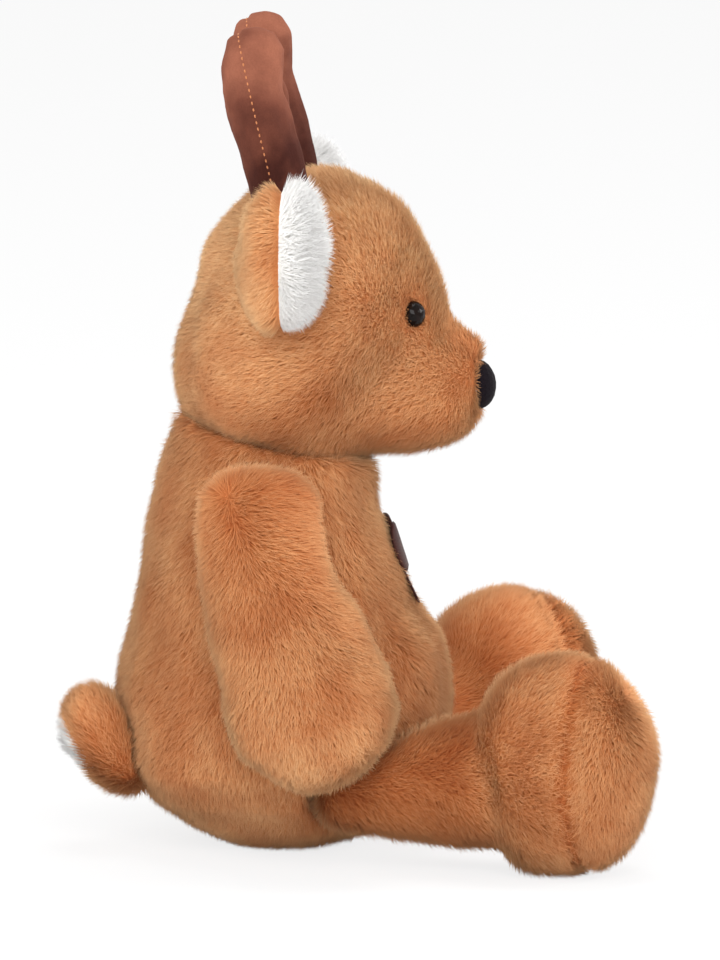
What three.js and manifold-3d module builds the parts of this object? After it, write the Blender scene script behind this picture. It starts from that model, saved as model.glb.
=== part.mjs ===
// Plush deer that sits upright: sewn pile fabric covers over stuffing, in millimetres.
// +X is the way the body faces, +Y its left side, +Z up. It stands on Z = 0.

import * as THREE from 'three';
import { mergeVertices } from 'three/addons/utils/BufferGeometryUtils.js';
import Module from 'manifold-3d';

const wasm = await Module();
wasm.setup();

// Fabric, gaps and seams
const coverWall = 5;
const suedeWall = 1.6;
const gap = 0.3;
const halfGap = gap / 2;
const cutterGrowth = 0.45;
const weldDistance = 0.002;
const stitchAllowance = 2;
const facetTolerance = 0.1;
const farAway = 700;

// Body: a pear on a rounded seat, leaning back at the shoulders
const seatDepthUnderFloor = 1;
const bodyTop = 176;
const bodyCentres = [-28, -28, -29, -29, -32.5, -36, -34, -31];
const bodyHalfDepths = [60.5, 62.5, 63, 61.5, 53.5, 44.5, 38, 35];
const bodyHalfWidths = [59, 66.5, 69, 63.8, 57, 50.2, 43.5, 36.5];
const seatRoundness = 50;
const bodyTopRoundness = 6;
const pelletBagCentre = new THREE.Vector3(-28, 0, 15);
const pelletBagHalf = new THREE.Vector3(36, 38, 19);

// Neck: the plane where the head is sewn on, and how far the head is turned to its right
const neckCentre = new THREE.Vector3(-31, 0, 159);
const neckTilt = THREE.MathUtils.degToRad(15);
const headTurn = THREE.MathUtils.degToRad(-9.5);

// Head: cranium, forehead, cheeks, muzzle, chin and bridge of the nose flow into one form
const headHeart = new THREE.Vector3(-16, 0, 196);
const headBlend = 4;
const craniumCentre = new THREE.Vector3(-16, 0, 217);
const craniumHalf = new THREE.Vector3(42.5, 52.5, 43.5);
const foreheadCentre = new THREE.Vector3(3, 0, 205);
const foreheadHalf = new THREE.Vector3(26, 32.5, 22.5);
const cheeksCentre = new THREE.Vector3(-28, 0, 187);
const cheeksHalf = new THREE.Vector3(41, 54.5, 42.5);
const muzzleCentre = new THREE.Vector3(14, 0, 176);
const muzzleHalf = new THREE.Vector3(31.5, 27, 20);
const chinCentre = new THREE.Vector3(22.5, 0, 168.5);
const chinHalf = new THREE.Vector3(20.5, 20, 10.5);
const bridgeCentre = new THREE.Vector3(27, 0, 192);
const bridgeHalf = new THREE.Vector3(22, 15, 8.5);

// Eyes and nose: moulded, each with a shank through the cover and a washer behind it
const eyeSpread = 25;
const eyeHeight = 209.5;
const eyeRadius = 5.2;
const eyeDome = 4.9;
const noseAboveMuzzle = 3.5;
const noseHalfWidth = 11;
const noseHalfHeight = 9.6;
const noseDome = 7.2;
const shankRadius = 1.8;
const shankLength = 12;
const washerRadius = 6.5;
const washerThickness = 1.6;
const washerSink = 7;
const buttonSink = 3;

// Arms: they hang from the shoulder seam against the slanting sides of the body
const sideTilt = THREE.MathUtils.degToRad(15);
const sideLevel = 99.9;
const sideDistance = 57.1;
const armTop = 52.5;
const armBottom = -69;
const armForward = [-45, -46, -43, -34, -26, -19.5];
const armOut = [14.5, 14.5, 15.5, 16.5, 17.5, 17.5];
const armHalfDepths = [21.5, 22.5, 24, 29, 32.5, 30];
const armHalfWidths = [17.5, 19.5, 21.5, 23.5, 24.5, 22.5];
const armTopRoundness = 10;
const armBottomRoundness = 30;
const armOpeningRadius = 6;
const armOpeningUp = 30;

// Legs: a ball at the hip sits in a hollow of the body, the foot stands up at the far end
const hip = new THREE.Vector3(-6, 50, 28.5);
const legSplay = THREE.MathUtils.degToRad(25);
const hipRadius = 20;
const hipClearance = 1;
const legEnd = 70;
const legHeights = [28.5, 28.5, 29, 30.5, 32, 34, 38];
const legHalfHeights = [20, 20, 20.5, 23, 26, 26.5, 24];
const legHalfWidths = [20, 20, 20.5, 22.5, 24.5, 26, 25];
const legEndRoundness = 15;
const footStart = 47;
const footEnd = 116.5;
const footHeight = 42.3;
const footHalfHeights = [36.5, 37.5, 41, 41.6, 39.5, 38];
const footHalfWidths = [27, 31, 33, 33, 32, 30];
const footStartRoundness = 22;
const footEndRoundness = 26;
const soleSeam = 92;
const hipOpening = 13;
const legLift = THREE.MathUtils.degToRad(25);
const legLiftSteps = 4;

// Ears: a tan back and a white lining sewn round the rim
const earCentre = new THREE.Vector3(-26, 69, 236);
const earHalfWidth = 25.5;
const earHalfHeight = 27.5;
const earBackDepth = 15;
const earLiningDepth = 9;
const earFold = THREE.MathUtils.degToRad(12);
const earRootSpread = 48;

// Antlers: front and back panels of suede round a padded stem with one side branch
const antlerForward = [-26, -29, -33.5, -39.5, -37.5];
const antlerOut = [29, 30, 30, 28, 24];
const antlerUp = [238, 257, 276, 295, 320];
const antlerHalfDepths = [11, 11.5, 12, 12, 13];
const antlerHalfWidths = [9, 9.5, 11.5, 11.5, 11];
const branchForward = [-32, -36, -38];
const branchOut = [28, 16, 8];
const branchUp = [268, 279, 299];
const branchHalfDepths = [8, 9, 9.5];
const branchHalfWidths = [8, 8, 8];
const antlerRoundness = 12;
const antlerSeamPoint = new THREE.Vector3(-37, 0, 284);
const antlerSeamTilt = THREE.MathUtils.degToRad(13.5);
const antlerBend = THREE.MathUtils.degToRad(8);
const antlerRootUp = 247;

// Tail: tan above, white below, held by its lower end
const tailForward = [-81, -92, -101, -107];
const tailUp = [24, 34, 46, 60];
const tailHalfDepths = [10, 12.5, 13.5, 11.5];
const tailHalfWidths = [15, 18, 19, 16];
const tailRoundness = 14;
const tailSeamOffset = 4;
const tailSeamTilt = THREE.MathUtils.degToRad(30);

// Bow on the chest: two loops, two ribbon ends and the knot over them
const bowHeight = 115;
const loopRoot = 1.5;
const loopReach = 19;
const loopHalfHeights = [3.5, 10.5, 9.5];
const loopHalfDepth = 1.9;
const loopSweep = 3;
const loopStandOff = 4.4;
const loopRootRoundness = 2;
const loopEndRoundness = 5;
const knotStandOff = 3.3;
const ribbonLength = 22;
const ribbonWidth = 11;
const ribbonThickness = 0.9;
const ribbonStandOff = 1.4;
const ribbonBesideMiddle = 5;
const ribbonSpread = THREE.MathUtils.degToRad(20);
const knotHalf = new THREE.Vector3(5, 4.6, 3.4);

const up = new THREE.Vector3(0, 0, 1);
const forward = new THREE.Vector3(1, 0, 0);
const left = new THREE.Vector3(0, 1, 0);
const neckNormal = forward.clone().multiplyScalar(Math.sin(neckTilt)).addScaledVector(up, Math.cos(neckTilt));

// How finely round forms are divided
const headBallSteps = 5;
const fineBallSteps = 3;
const plainBallSteps = 2;
const roundSides = 12;
const washerSides = 16;

const finishes = {
  tanPile: { color: 0xc6804a, roughness: 0.95 },
  whitePile: { color: 0xf2efe8, roughness: 0.95 },
  suede: { color: 0x6b3f33, roughness: 0.85 },
  fill: { color: 0xe9e6df, roughness: 1 },
  pelletCloth: { color: 0xd9d4c8, roughness: 0.9 },
  eyePlastic: { color: 0x0b0a0c, roughness: 0.12 },
  nosePile: { color: 0x1b151b, roughness: 0.9 },
  washerPlastic: { color: 0xe6e4de, roughness: 0.45 },
  bowSatin: { color: 0x53302c, roughness: 0.5 },
};

const deer = new THREE.Group();
deer.name = 'plush_deer';

function solidOf(geometry) {
  const bare = new THREE.BufferGeometry();
  bare.setAttribute('position', geometry.getAttribute('position').clone());
  bare.setIndex(geometry.getIndex());
  const merged = mergeVertices(bare, weldDistance);
  return new wasm.Manifold(new wasm.Mesh({
    numProp: 3,
    vertProperties: new Float32Array(merged.getAttribute('position').array),
    triVerts: new Uint32Array(merged.getIndex().array),
  }));
}

function meshOf(name, solid, finish) {
  const cut = solid.simplify(facetTolerance).getMesh();
  const geometry = new THREE.BufferGeometry();
  geometry.setAttribute('position', new THREE.BufferAttribute(new Float32Array(cut.vertProperties), 3));
  geometry.setIndex(new THREE.BufferAttribute(new Uint32Array(cut.triVerts), 1));
  geometry.computeVertexNormals();
  const mesh = new THREE.Mesh(geometry, new THREE.MeshStandardMaterial({ metalness: 0, ...finish }));
  mesh.name = name;
  return mesh;
}

// The same piece for both sides of a part that is symmetric about Y = 0
function addPair(parent, name, solid, finish) {
  const leftMesh = meshOf(`${name}_left`, solid, finish);
  const rightMesh = meshOf(`${name}_right`, solid, finish);
  rightMesh.scale.y = -1;
  parent.add(leftMesh, rightMesh);
}

// Values at even steps, read as a smooth curve
function smoothValue(values, share) {
  const points = values.map((value, step) => new THREE.Vector2(step / (values.length - 1), value));
  return new THREE.SplineCurve(points).getPoint(share).y;
}

function roundedEnd(distance, roundness) {
  const missing = Math.max(0, 1 - distance / roundness);
  return Math.sqrt(1 - missing * missing);
}

// A stuffed form: oval rings along a curved spine, closed by a rounded end at each side
function stuffedForm(shape, inset = 0) {
  const path = new THREE.CatmullRomCurve3(shape.spine);
  const length = path.getLength();
  const corners = [];
  for (let ring = 0; ring <= shape.rings; ring += 1) {
    const travelled = (1 - Math.cos((Math.PI * ring) / shape.rings)) / 2;
    const along = inset + travelled * (length - 2 * inset);
    const share = THREE.MathUtils.clamp(along / length, 0, 1);
    const tangent = path.getTangentAt(share);
    const centre = path.getPointAt(share).addScaledVector(tangent, along - share * length);
    const wideWay = shape.wideWay.clone().addScaledVector(tangent, -shape.wideWay.dot(tangent)).normalize();
    const deepWay = new THREE.Vector3().crossVectors(wideWay, tangent);
    const fromStart = roundedEnd(along - inset, shape.startRoundness - inset);
    const fromEnd = roundedEnd(length - along - inset, shape.endRoundness - inset);
    const halfDepth = (smoothValue(shape.halfDepths, share) - inset) * fromStart * fromEnd;
    const halfWidth = (smoothValue(shape.halfWidths, share) - inset) * fromStart * fromEnd;
    const sides = ring === 0 || ring === shape.rings ? 1 : shape.sides;
    for (let side = 0; side < sides; side += 1) {
      const angle = (2 * Math.PI * side) / shape.sides;
      const corner = centre.clone();
      if (sides > 1) {
        corner.addScaledVector(deepWay, halfDepth * Math.cos(angle));
        corner.addScaledVector(wideWay, halfWidth * Math.sin(angle));
      }
      corners.push(corner);
    }
  }
  return solidOf(ringGeometry(corners, shape.rings, shape.sides));
}

function ringGeometry(corners, rings, sides) {
  const triangles = [];
  const last = corners.length - 1;
  const cornerAt = (ring, side) => 1 + (ring - 1) * sides + (side % sides);
  for (let side = 0; side < sides; side += 1) {
    triangles.push(0, cornerAt(1, side + 1), cornerAt(1, side));
    triangles.push(last, cornerAt(rings - 1, side), cornerAt(rings - 1, side + 1));
    for (let ring = 1; ring < rings - 1; ring += 1) {
      const near = cornerAt(ring, side);
      const nearNext = cornerAt(ring, side + 1);
      const far = cornerAt(ring + 1, side);
      const farNext = cornerAt(ring + 1, side + 1);
      triangles.push(near, nearNext, far);
      triangles.push(nearNext, farNext, far);
    }
  }
  return new THREE.BufferGeometry().setFromPoints(corners).setIndex(triangles);
}

const headLobes = [
  { centre: craniumCentre, half: craniumHalf },
  { centre: foreheadCentre, half: foreheadHalf },
  { centre: cheeksCentre, half: cheeksHalf },
  { centre: muzzleCentre, half: muzzleHalf },
  { centre: chinCentre, half: chinHalf },
  { centre: bridgeCentre, half: bridgeHalf },
];

// How far a point is outside the head's lobes, negative inside
function headDepth(point) {
  let sum = 0;
  for (const { centre, half } of headLobes) {
    const scaled = point.clone().sub(centre).divide(half);
    const outside = (scaled.length() - 1) * Math.min(half.x, half.y, half.z);
    sum += Math.exp(-outside / headBlend);
  }
  return -headBlend * Math.log(sum);
}

function headReach(from, way, inset) {
  let inner = 0;
  let outer = farAway / 4;
  while (outer - inner > weldDistance) {
    const middle = (inner + outer) / 2;
    const point = from.clone().addScaledVector(way, middle);
    if (headDepth(point) > -inset) {
      outer = middle;
    } else {
      inner = middle;
    }
  }
  return from.clone().addScaledVector(way, inner);
}

function headForm(detail, inset = 0) {
  const ball = new THREE.IcosahedronGeometry(1, detail);
  const directions = ball.getAttribute('position');
  const way = new THREE.Vector3();
  const corners = [];
  for (let corner = 0; corner < directions.count; corner += 1) {
    way.fromBufferAttribute(directions, corner).normalize();
    corners.push(headReach(headHeart, way, inset));
  }
  const geometry = new THREE.BufferGeometry().setFromPoints(corners);
  geometry.setIndex(corners.map((_, corner) => corner));
  return solidOf(geometry);
}

function ovalForm(centre, half, detail) {
  const ball = new THREE.IcosahedronGeometry(1, detail);
  ball.scale(half.x, half.y, half.z);
  ball.translate(centre.x, centre.y, centre.z);
  ball.setIndex([...Array(ball.getAttribute('position').count).keys()]);
  return solidOf(ball);
}

// Everything on the side of a plane that its normal points to
function beyond(point, normal) {
  const block = new THREE.BoxGeometry(farAway, farAway, farAway);
  block.translate(0, 0, farAway / 2);
  block.applyQuaternion(new THREE.Quaternion().setFromUnitVectors(up, normal));
  block.translate(point.x, point.y, point.z);
  return solidOf(block);
}

function turnedAbout(solid, point, axis, angle) {
  const matrix = new THREE.Matrix4().makeTranslation(point.x, point.y, point.z);
  matrix.multiply(new THREE.Matrix4().makeRotationAxis(axis, angle));
  matrix.multiply(new THREE.Matrix4().makeTranslation(-point.x, -point.y, -point.z));
  return solid.transform(matrix.elements);
}

function movedBy(solid, matrix) {
  return solid.transform(matrix.elements);
}

const belowFloor = beyond(new THREE.Vector3(), up.clone().negate());
const aboveNeck = beyond(neckCentre.clone().addScaledVector(neckNormal, -halfGap), neckNormal);
const neckInHead = neckNormal.clone().applyAxisAngle(up, -headTurn);
const belowNeck = beyond(neckCentre.clone().addScaledVector(neckInHead, halfGap), neckInHead.clone().negate());

function evenSteps(start, end, count) {
  return Array.from({ length: count }, (_, step) => start + ((end - start) * step) / (count - 1));
}

function bodyShape(rings, sides) {
  const levels = evenSteps(-seatDepthUnderFloor, bodyTop, bodyCentres.length);
  return {
    spine: levels.map((level, step) => new THREE.Vector3(bodyCentres[step], 0, level)),
    halfDepths: bodyHalfDepths,
    halfWidths: bodyHalfWidths,
    wideWay: left,
    startRoundness: seatRoundness,
    endRoundness: bodyTopRoundness,
    rings,
    sides,
  };
}

function legFrame() {
  const way = new THREE.Vector3(Math.cos(legSplay), Math.sin(legSplay), 0);
  const across = new THREE.Vector3(-Math.sin(legSplay), Math.cos(legSplay), 0);
  return { way, across };
}

// The leg's tube from the hip, and the foot as a deep pillow on its far end
function legForm(rings, sides, inset = 0) {
  const { way, across } = legFrame();
  const at = (stop, height) => {
    const point = hip.clone().addScaledVector(way, stop);
    point.z = height;
    return point;
  };
  const tube = {
    spine: evenSteps(-hipRadius, legEnd, legHeights.length).map((stop, step) => at(stop, legHeights[step])),
    halfDepths: legHalfHeights,
    halfWidths: legHalfWidths,
    wideWay: across,
    startRoundness: hipRadius,
    endRoundness: legEndRoundness,
    rings,
    sides,
  };
  const foot = {
    spine: evenSteps(footStart, footEnd, footHalfHeights.length).map((stop) => at(stop, footHeight)),
    halfDepths: footHalfHeights,
    halfWidths: footHalfWidths,
    wideWay: across,
    startRoundness: footStartRoundness,
    endRoundness: footEndRoundness,
    rings,
    sides,
  };
  return stuffedForm(tube, inset).add(stuffedForm(foot, inset));
}

// Both hips of the body are hollowed for the balls of the legs
function withoutHips(solid, radius) {
  const half = new THREE.Vector3(radius, radius, radius);
  const leftHip = ovalForm(hip, half, fineBallSteps);
  const rightHip = ovalForm(hip.clone().setY(-hip.y), half, fineBallSteps);
  return solid.subtract(leftHip).subtract(rightHip);
}

const hollowRadius = hipRadius + hipClearance;
const bodyOuter = withoutHips(stuffedForm(bodyShape(13, 24)), hollowRadius).subtract(belowFloor);
const bodyCutter = withoutHips(stuffedForm(bodyShape(13, 24), -cutterGrowth), hollowRadius - gap);

function addBody() {
  const cavity = withoutHips(stuffedForm(bodyShape(8, 14), coverWall), hollowRadius + coverWall);
  const fillSpace = withoutHips(stuffedForm(bodyShape(8, 14), coverWall + gap), hollowRadius + coverWall + gap);
  const bag = ovalForm(pelletBagCentre, pelletBagHalf, fineBallSteps);
  const bagRoom = ovalForm(pelletBagCentre, pelletBagHalf.clone().addScalar(gap), fineBallSteps);
  deer.add(meshOf('body_cover', bodyOuter.subtract(cavity).subtract(aboveNeck), finishes.tanPile));
  deer.add(meshOf('body_stuffing', fillSpace.subtract(aboveNeck).subtract(bagRoom), finishes.fill));
  deer.add(meshOf('pellet_bag', fillSpace.intersect(bag), finishes.pelletCloth));
}

function addArms() {
  const matrix = new THREE.Matrix4().makeRotationX(sideTilt);
  matrix.setPosition(0, sideDistance, sideLevel);
  const levels = evenSteps(armTop, armBottom, armForward.length);
  const shape = (rings, sides) => ({
    spine: levels.map((level, step) => new THREE.Vector3(armForward[step], armOut[step], level)),
    halfDepths: armHalfDepths,
    halfWidths: armHalfWidths,
    wideWay: left,
    startRoundness: armTopRoundness,
    endRoundness: armBottomRoundness,
    rings,
    sides,
  });
  const inside = (distance) => beyond(new THREE.Vector3(0, distance, 0), left.clone().negate());
  const outer = stuffedForm(shape(11, 16)).subtract(inside(gap));
  const cavity = stuffedForm(shape(8, 10), coverWall).subtract(inside(gap + coverWall));
  const fill = stuffedForm(shape(8, 10), coverWall + gap).subtract(inside(coverWall + 2 * gap));
  const opening = new THREE.CylinderGeometry(armOpeningRadius, armOpeningRadius, armHalfWidths[0], roundSides);
  opening.translate(armForward[0], 0, armOpeningUp);
  const cover = outer.subtract(cavity).subtract(solidOf(opening));
  addPair(deer, 'arm_cover', movedBy(cover, matrix), finishes.tanPile);
  addPair(deer, 'arm_stuffing', movedBy(fill, matrix), finishes.fill);
}

function addLegs() {
  const { way, across } = legFrame();
  const seamBefore = hip.clone().addScaledVector(way, soleSeam - halfGap);
  const seamAfter = hip.clone().addScaledVector(way, soleSeam + halfGap);
  const openingAt = hip.clone().addScaledVector(way, -hipOpening);
  let outer = legForm(12, 16).subtract(belowFloor);
  let fill = legForm(8, 10, coverWall + gap);
  const cavity = legForm(8, 10, coverWall);
  for (let step = 0; step < legLiftSteps; step += 1) {
    const angle = (legLift * step) / (legLiftSteps - 1);
    const seenBody = turnedAbout(bodyCutter, hip, across, angle);
    outer = outer.subtract(seenBody);
    fill = fill.subtract(seenBody);
  }
  const cover = outer.subtract(cavity).subtract(beyond(openingAt, way.clone().negate()));
  addPair(deer, 'leg_cover', cover.subtract(beyond(seamBefore, way)), finishes.tanPile);
  addPair(deer, 'foot_sole', cover.subtract(beyond(seamAfter, way.clone().negate())), finishes.tanPile);
  addPair(deer, 'leg_stuffing', fill, finishes.fill);
}

function addTail() {
  const spine = tailForward.map((x, step) => new THREE.Vector3(x, 0, tailUp[step]));
  const shape = {
    spine,
    halfDepths: tailHalfDepths,
    halfWidths: tailHalfWidths,
    wideWay: left,
    startRoundness: tailRoundness,
    endRoundness: tailRoundness,
    rings: 10,
    sides: 16,
  };
  const whole = stuffedForm(shape).subtract(bodyCutter);
  const seamNormal = new THREE.Vector3(-Math.cos(tailSeamTilt), 0, -Math.sin(tailSeamTilt));
  const seamPoint = spine[2].clone().addScaledVector(seamNormal, tailSeamOffset);
  const afterSeam = seamPoint.clone().addScaledVector(seamNormal, gap);
  deer.add(meshOf('tail_top', whole.subtract(beyond(seamPoint, seamNormal)), finishes.tanPile));
  deer.add(meshOf('tail_underside', whole.intersect(beyond(afterSeam, seamNormal)), finishes.whitePile));
}

// Head and all that is sewn or fixed to it, turned on the neck
const headTurner = new THREE.Group();
const head = new THREE.Group();
headTurner.position.copy(neckCentre);
headTurner.rotation.z = headTurn;
head.position.copy(neckCentre).negate();
headTurner.add(head);
deer.add(headTurner);
const headOuter = headForm(headBallSteps);
const headCutter = headForm(headBallSteps, -cutterGrowth);

// A button with a domed front, seen along +Z, and the shank behind it
function domedButton(half, dome, growth) {
  const grown = new THREE.Vector3(half.x + growth, half.y + growth, dome + growth);
  const button = ovalForm(new THREE.Vector3(), grown, fineBallSteps);
  const front = button.intersect(beyond(new THREE.Vector3(0, 0, -growth), up));
  const shankReach = shankLength + growth;
  const shank = new THREE.CylinderGeometry(shankRadius + growth, shankRadius + growth, shankReach, roundSides);
  shank.rotateX(Math.PI / 2);
  shank.translate(0, 0, shankRadius - shankReach / 2);
  return front.add(solidOf(shank));
}

function washerRing() {
  const innerRadius = shankRadius + gap;
  const halfThickness = washerThickness / 2;
  const profile = [
    new THREE.Vector2(innerRadius, -halfThickness),
    new THREE.Vector2(washerRadius, -halfThickness),
    new THREE.Vector2(washerRadius, halfThickness),
    new THREE.Vector2(innerRadius, halfThickness),
    new THREE.Vector2(innerRadius, -halfThickness),
  ];
  const ring = new THREE.LatheGeometry(profile, washerSides);
  ring.rotateX(Math.PI / 2);
  ring.translate(0, 0, -washerSink);
  return solidOf(ring);
}

function headNormal(point) {
  const reach = 1;
  const slope = (way) => headDepth(point.clone().addScaledVector(way, reach))
    - headDepth(point.clone().addScaledVector(way, -reach));
  return new THREE.Vector3(slope(forward), slope(left), slope(up)).normalize();
}

// Where a button sits: on the head's surface, sunk so that its rim meets the cover
function seatOnHead(side, height) {
  const start = new THREE.Vector3(headHeart.x, side, height);
  const point = headReach(start, forward, 0);
  const normal = headNormal(point);
  const turn = new THREE.Quaternion().setFromUnitVectors(up, normal);
  const place = point.clone().addScaledVector(normal, -buttonSink);
  return new THREE.Matrix4().compose(place, turn, new THREE.Vector3(1, 1, 1));
}

function addHead() {
  const eyeHalf = new THREE.Vector2(eyeRadius, eyeRadius);
  const noseHalf = new THREE.Vector2(noseHalfHeight, noseHalfWidth);
  const mirror = new THREE.Matrix4().makeScale(1, -1, 1);
  const eyeSeat = seatOnHead(eyeSpread, eyeHeight);
  const noseSeat = seatOnHead(0, muzzleCentre.z + noseAboveMuzzle);
  const seats = [
    { half: eyeHalf, dome: eyeDome, place: eyeSeat },
    { half: eyeHalf, dome: eyeDome, place: mirror.clone().multiply(eyeSeat) },
    { half: noseHalf, dome: noseDome, place: noseSeat },
  ];
  let cover = headOuter.subtract(headForm(fineBallSteps, coverWall));
  let fill = headForm(fineBallSteps, coverWall + gap);
  for (const { half, dome, place } of seats) {
    const room = movedBy(domedButton(half, dome, gap), place);
    const washer = movedBy(washerRoom(), place);
    cover = cover.subtract(room).subtract(washer);
    fill = fill.subtract(room).subtract(washer);
  }
  head.add(meshOf('head_cover', cover.subtract(belowNeck), finishes.tanPile));
  head.add(meshOf('head_stuffing', fill.subtract(belowNeck), finishes.fill));
  addPair(head, 'eye', movedBy(domedButton(eyeHalf, eyeDome, 0), eyeSeat), finishes.eyePlastic);
  addPair(head, 'eye_washer', movedBy(washerRing(), eyeSeat), finishes.washerPlastic);
  head.add(meshOf('nose', movedBy(domedButton(noseHalf, noseDome, 0), noseSeat), finishes.nosePile));
  head.add(meshOf('nose_washer', movedBy(washerRing(), noseSeat), finishes.washerPlastic));
}

function washerRoom() {
  const radius = washerRadius + gap;
  const front = coverWall - buttonSink;
  const depth = washerSink + washerThickness / 2 + gap - front;
  const room = new THREE.CylinderGeometry(radius, radius, depth, washerSides);
  room.rotateX(Math.PI / 2);
  room.translate(0, 0, -front - depth / 2);
  return solidOf(room);
}

function addEars() {
  const place = new THREE.Matrix4().setPosition(earCentre);
  const whole = (depth) => {
    const half = new THREE.Vector3(depth, earHalfWidth, earHalfHeight);
    return ovalForm(new THREE.Vector3(), half, fineBallSteps);
  };
  const behind = beyond(new THREE.Vector3(-halfGap, 0, 0), forward);
  const before = beyond(new THREE.Vector3(halfGap, 0, 0), forward.clone().negate());
  let back = movedBy(whole(earBackDepth).subtract(behind), place);
  let lining = movedBy(whole(earLiningDepth).subtract(before), place);
  const root = new THREE.Vector3(0, earRootSpread - earCentre.y, 0).applyMatrix4(place);
  for (const angle of [-earFold, 0, earFold]) {
    const seenHead = turnedAbout(headCutter, root, up, angle);
    back = back.subtract(seenHead);
    lining = lining.subtract(seenHead);
  }
  addPair(head, 'ear_back', back, finishes.tanPile);
  addPair(head, 'ear_lining', lining, finishes.whitePile);
}

function antlerForm(inset, rings, sides) {
  const stem = {
    spine: antlerUp.map((level, step) => new THREE.Vector3(antlerForward[step], antlerOut[step], level)),
    halfDepths: antlerHalfDepths,
    halfWidths: antlerHalfWidths,
    wideWay: left,
    startRoundness: antlerRoundness,
    endRoundness: antlerRoundness,
    rings,
    sides,
  };
  const branch = {
    spine: branchUp.map((level, step) => new THREE.Vector3(branchForward[step], branchOut[step], level)),
    halfDepths: branchHalfDepths,
    halfWidths: branchHalfWidths,
    wideWay: left,
    startRoundness: branchHalfWidths[0],
    endRoundness: antlerRoundness,
    rings: rings - 3,
    sides,
  };
  return stuffedForm(stem, inset).add(stuffedForm(branch, inset));
}

function addAntlers() {
  const root = new THREE.Vector3(antlerForward[0], antlerOut[0], antlerRootUp);
  let outer = antlerForm(0, 11, 12);
  let fill = antlerForm(suedeWall + gap, 8, 8);
  for (const angle of [-antlerBend, 0, antlerBend]) {
    const seenHead = turnedAbout(headCutter, root, left, angle);
    outer = outer.subtract(seenHead);
    fill = fill.subtract(seenHead);
  }
  const cover = outer.subtract(antlerForm(suedeWall, 8, 8));
  const seamNormal = new THREE.Vector3(Math.cos(antlerSeamTilt), 0, Math.sin(antlerSeamTilt));
  const frontEdge = antlerSeamPoint.clone().addScaledVector(seamNormal, halfGap);
  const backEdge = antlerSeamPoint.clone().addScaledVector(seamNormal, -halfGap);
  const frontPanel = cover.intersect(beyond(frontEdge, seamNormal));
  const backPanel = cover.subtract(beyond(backEdge, seamNormal));
  addPair(head, 'antler_front', frontPanel, finishes.suede);
  addPair(head, 'antler_back', backPanel, finishes.suede);
  addPair(head, 'antler_stuffing', fill, finishes.fill);
}

// The point of the body's front line that is nearest to a height
function chestPoint(height) {
  const path = new THREE.CatmullRomCurve3(bodyShape().spine);
  let low = 0;
  let high = 1;
  const point = new THREE.Vector3();
  while (high - low > weldDistance / farAway) {
    const share = (low + high) / 2;
    const tangent = path.getTangentAt(share);
    point.crossVectors(left, tangent).multiplyScalar(smoothValue(bodyHalfDepths, share));
    point.add(path.getPointAt(share));
    if (point.z < height) {
      low = share;
    } else {
      high = share;
    }
  }
  return point;
}

// Bow in its own frame: +Z away from the chest, +X down the chest, +Y to the left
function addBow() {
  const seat = chestPoint(bowHeight);
  const below = chestPoint(bowHeight - ribbonLength);
  const chestSlope = Math.atan2(below.x - seat.x, seat.z - below.z);
  const place = new THREE.Matrix4().makeRotationY(Math.PI / 2 - chestSlope);
  place.setPosition(seat);
  const loop = {
    spine: [
      new THREE.Vector3(0, loopRoot, loopStandOff),
      new THREE.Vector3(0, loopReach / 2, loopStandOff),
      new THREE.Vector3(0, loopReach, loopStandOff - loopSweep),
    ],
    halfDepths: loopHalfHeights,
    halfWidths: [loopHalfDepth, loopHalfDepth, loopHalfDepth],
    wideWay: up,
    startRoundness: loopRootRoundness,
    endRoundness: loopEndRoundness,
    rings: 8,
    sides: 12,
  };
  const knotCentre = new THREE.Vector3(0, 0, knotStandOff);
  const knot = ovalForm(knotCentre, knotHalf, plainBallSteps);
  const knotRoom = ovalForm(knotCentre, knotHalf.clone().addScalar(gap), plainBallSteps);
  const ribbon = new THREE.BoxGeometry(ribbonLength, ribbonWidth, ribbonThickness, 3, 1, 1);
  ribbon.translate(ribbonLength / 2 + stitchAllowance, 0, 0);
  ribbon.rotateZ(ribbonSpread);
  ribbon.translate(0, ribbonBesideMiddle, ribbonStandOff);
  const loopSolid = movedBy(stuffedForm(loop).subtract(knotRoom), place).subtract(bodyCutter);
  const ribbonSolid = movedBy(solidOf(ribbon).subtract(knotRoom), place).subtract(bodyCutter);
  addPair(deer, 'bow_loop', loopSolid, finishes.bowSatin);
  addPair(deer, 'bow_ribbon', ribbonSolid, finishes.bowSatin);
  deer.add(meshOf('bow_knot', movedBy(knot, place).subtract(bodyCutter), finishes.bowSatin));
}

addBody();
addArms();
addLegs();
addTail();
addHead();
addEars();
addAntlers();
addBow();

// The frame's origin is under the middle of the whole toy
deer.updateMatrixWorld(true);
const extent = new THREE.Box3().setFromObject(deer, true);
const middle = extent.getCenter(new THREE.Vector3());
deer.position.set(-middle.x, -middle.y, -extent.min.z);

export default deer;
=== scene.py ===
"""Plush deer: soft forms under a combed pile, suede antlers with a topstitched seam, eyes, nose and bow."""

import math

import bmesh
import bpy
import numpy as np
from mathutils import Matrix, Vector, noise as lump_noise
from mathutils.bvhtree import BVHTree
from mathutils.kdtree import KDTree


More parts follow.
